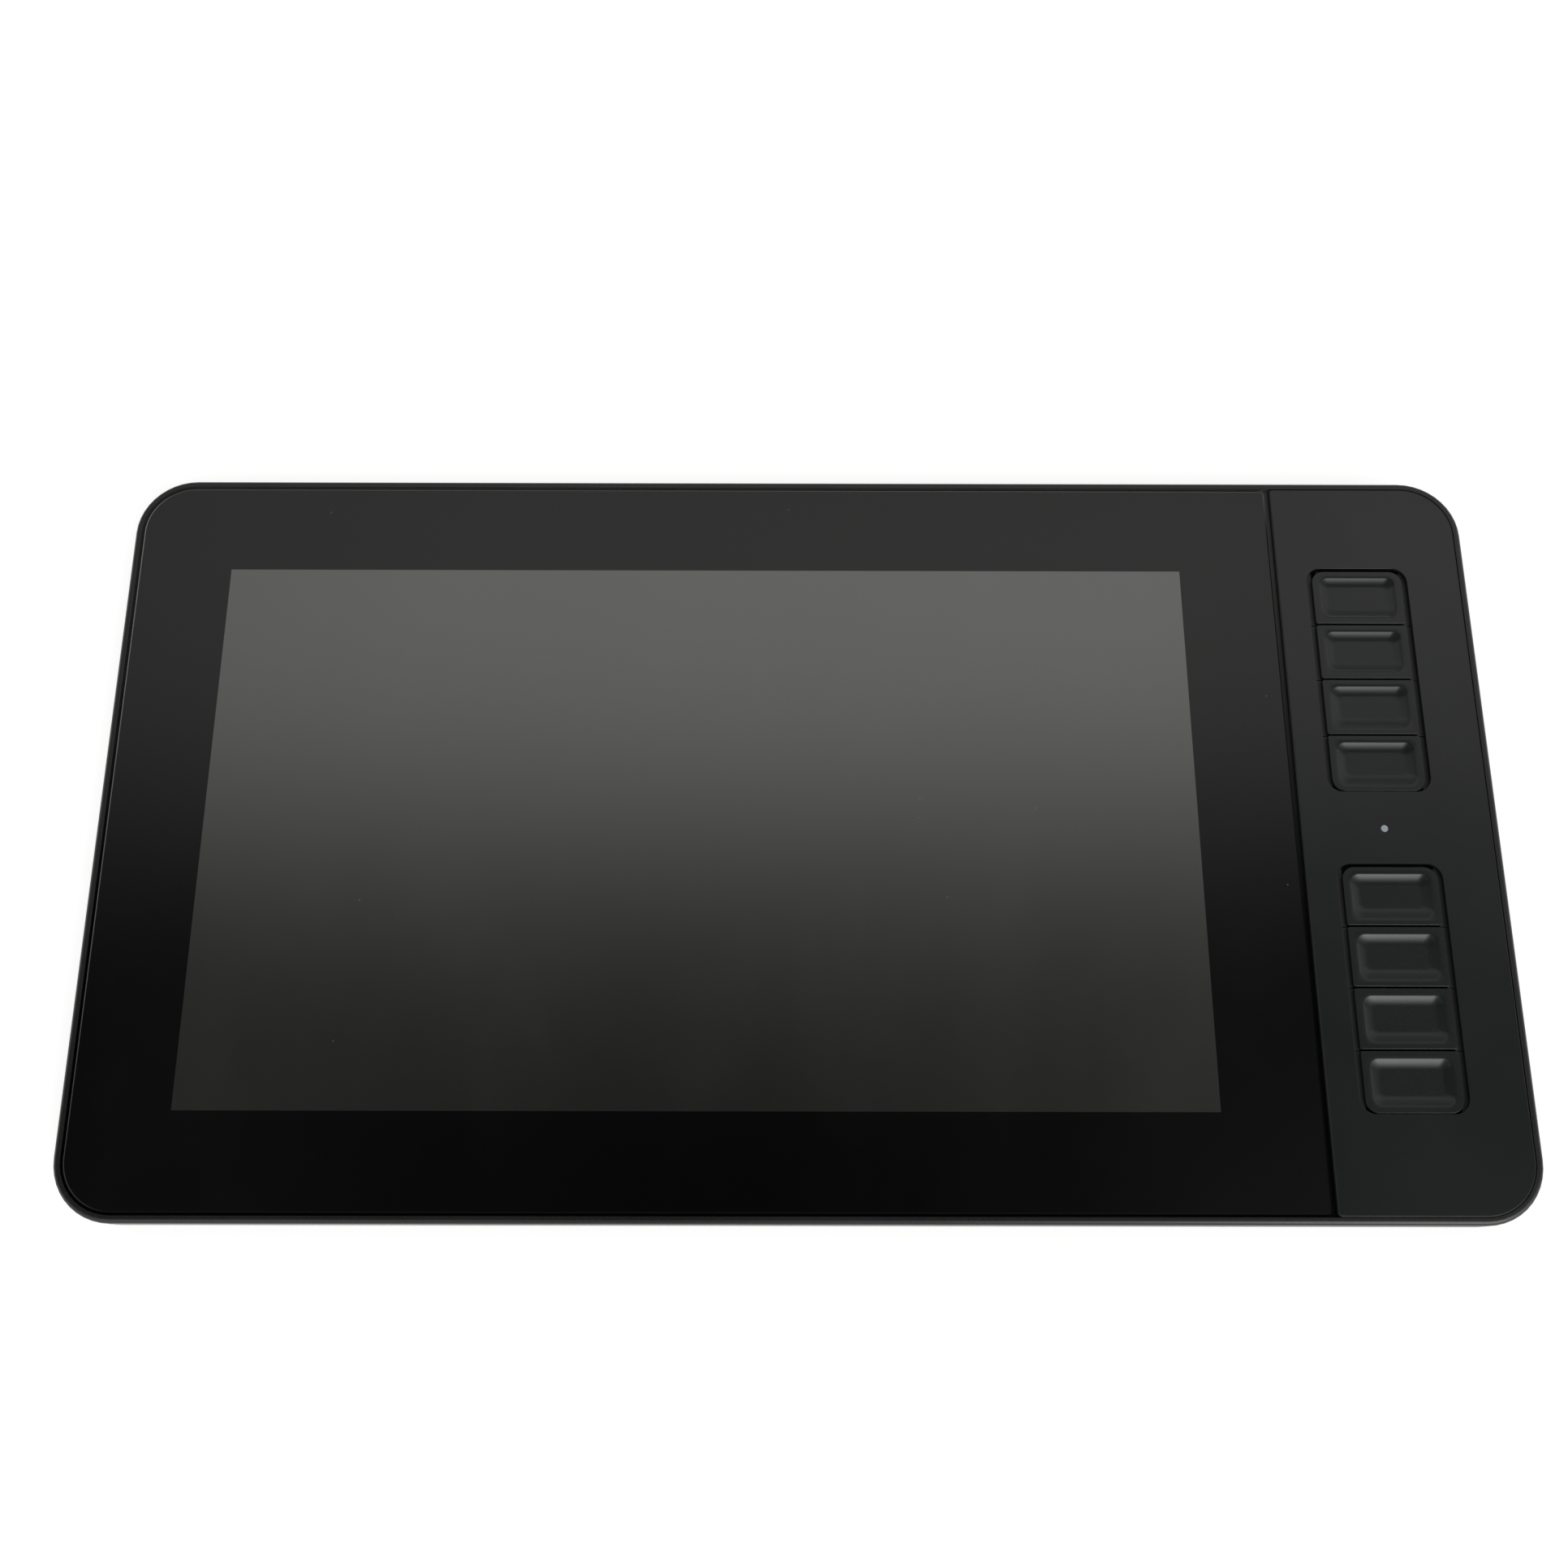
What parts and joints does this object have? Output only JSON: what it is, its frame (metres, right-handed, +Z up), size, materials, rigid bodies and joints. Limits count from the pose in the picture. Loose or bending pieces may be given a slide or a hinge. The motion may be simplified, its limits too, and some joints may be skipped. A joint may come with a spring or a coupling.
{
  "type": "pen display tablet",
  "caption": "Flat drawing tablet with a built-in screen under one matte glass plate, a side panel of dished shortcut keys, edge buttons, cable sockets and rubber feet.",
  "frame": {"origin": "middle of the footprint, on the surface that the feet stand on", "axes": "+X to the right along the case's width, +Y away from the user, +Z up out of the screen"},
  "size_m": [0.3612, 0.1976, 0.0117],
  "materials": {
    "case_plastic": "fine matte",
    "panel_plastic": "fine matte",
    "key_plastic": "satin",
    "cover_glass": "anti-glare etched",
    "screen": "switched-off screen",
    "rubber": "matte",
    "steel": "plain sheet",
    "screw_steel": "black oxide",
    "circuit_board": "solder mask",
    "ribbon": "satin",
    "chip": "matte",
    "white_plastic": "matte",
    "clear_plastic": "clear",
    "foam": "foam"
  },
  "bodies": {
    "case": {"front_frame": "case_plastic", "rear_cover": "case_plastic", "cover_glass": "cover_glass", "glass_tape": "foam", "key_panel": "panel_plastic", "light_pipe": "clear_plastic", "key_switches": "chip", "main_board": "circuit_board", "board_chips": "chip", "board_screws": "steel", "indicator_led": "white_plastic", "usb_port": "steel", "video_port": "steel", "lcd_gasket": "foam", "lcd_cell": "screen", "panel_frame": "white_plastic", "diffuser_sheet": "white_plastic", "light_guide": "clear_plastic", "reflector_sheet": "white_plastic", "led_strip": "white_plastic", "backlight_tray": "steel", "lcd_driver_board": "circuit_board", "lcd_cable": "ribbon", "digitizer_board": "circuit_board", "digitizer_cable": "ribbon", "shield_plate": "steel", "button_board": "circuit_board", "button_cable": "ribbon", "side_switches": "chip", "foot_far_left": "rubber", "foot_far_right": "rubber", "foot_near_left": "rubber", "foot_near_right": "rubber", "case_screws": "screw_steel"},
    "key_1": {"key_1": "key_plastic", "key_1_stem": "white_plastic"},
    "key_2": {"key_2": "key_plastic", "key_2_stem": "white_plastic"},
    "key_3": {"key_3": "key_plastic", "key_3_stem": "white_plastic"},
    "key_4": {"key_4": "key_plastic", "key_4_stem": "white_plastic"},
    "key_5": {"key_5": "key_plastic", "key_5_stem": "white_plastic"},
    "key_6": {"key_6": "key_plastic", "key_6_stem": "white_plastic"},
    "key_7": {"key_7": "key_plastic", "key_7_stem": "white_plastic"},
    "key_8": {"key_8": "key_plastic", "key_8_stem": "white_plastic"},
    "power_button": {"power_button": "panel_plastic", "power_button_stem": "white_plastic"},
    "menu_button": {"menu_button": "panel_plastic", "menu_button_stem": "white_plastic"},
    "minus_button": {"minus_button": "panel_plastic", "minus_button_stem": "white_plastic"},
    "plus_button": {"plus_button": "panel_plastic", "plus_button_stem": "white_plastic"}
  },
  "joints": [
    {"name": "key_1_press", "type": "slide", "parent": "case", "child": "key_1", "axis": [0, 0, -1], "range_m": [0, 0.0004], "stiffness_N_per_m": 2000},
    {"name": "key_2_press", "type": "slide", "parent": "case", "child": "key_2", "axis": [0, 0, -1], "range_m": [0, 0.0004], "stiffness_N_per_m": 2000},
    {"name": "key_3_press", "type": "slide", "parent": "case", "child": "key_3", "axis": [0, 0, -1], "range_m": [0, 0.0004], "stiffness_N_per_m": 2000},
    {"name": "key_4_press", "type": "slide", "parent": "case", "child": "key_4", "axis": [0, 0, -1], "range_m": [0, 0.0004], "stiffness_N_per_m": 2000},
    {"name": "key_5_press", "type": "slide", "parent": "case", "child": "key_5", "axis": [0, 0, -1], "range_m": [0, 0.0004], "stiffness_N_per_m": 2000},
    {"name": "key_6_press", "type": "slide", "parent": "case", "child": "key_6", "axis": [0, 0, -1], "range_m": [0, 0.0004], "stiffness_N_per_m": 2000},
    {"name": "key_7_press", "type": "slide", "parent": "case", "child": "key_7", "axis": [0, 0, -1], "range_m": [0, 0.0004], "stiffness_N_per_m": 2000},
    {"name": "key_8_press", "type": "slide", "parent": "case", "child": "key_8", "axis": [0, 0, -1], "range_m": [0, 0.0004], "stiffness_N_per_m": 2000},
    {"name": "power_button_press", "type": "slide", "parent": "case", "child": "power_button", "axis": [0, -1, 0], "range_m": [0, 0.0003], "stiffness_N_per_m": 3000},
    {"name": "menu_button_press", "type": "slide", "parent": "case", "child": "menu_button", "axis": [0, -1, 0], "range_m": [0, 0.0003], "stiffness_N_per_m": 3000},
    {"name": "minus_button_press", "type": "slide", "parent": "case", "child": "minus_button", "axis": [0, -1, 0], "range_m": [0, 0.0003], "stiffness_N_per_m": 3000},
    {"name": "plus_button_press", "type": "slide", "parent": "case", "child": "plus_button", "axis": [0, -1, 0], "range_m": [0, 0.0003], "stiffness_N_per_m": 3000}
  ]
}
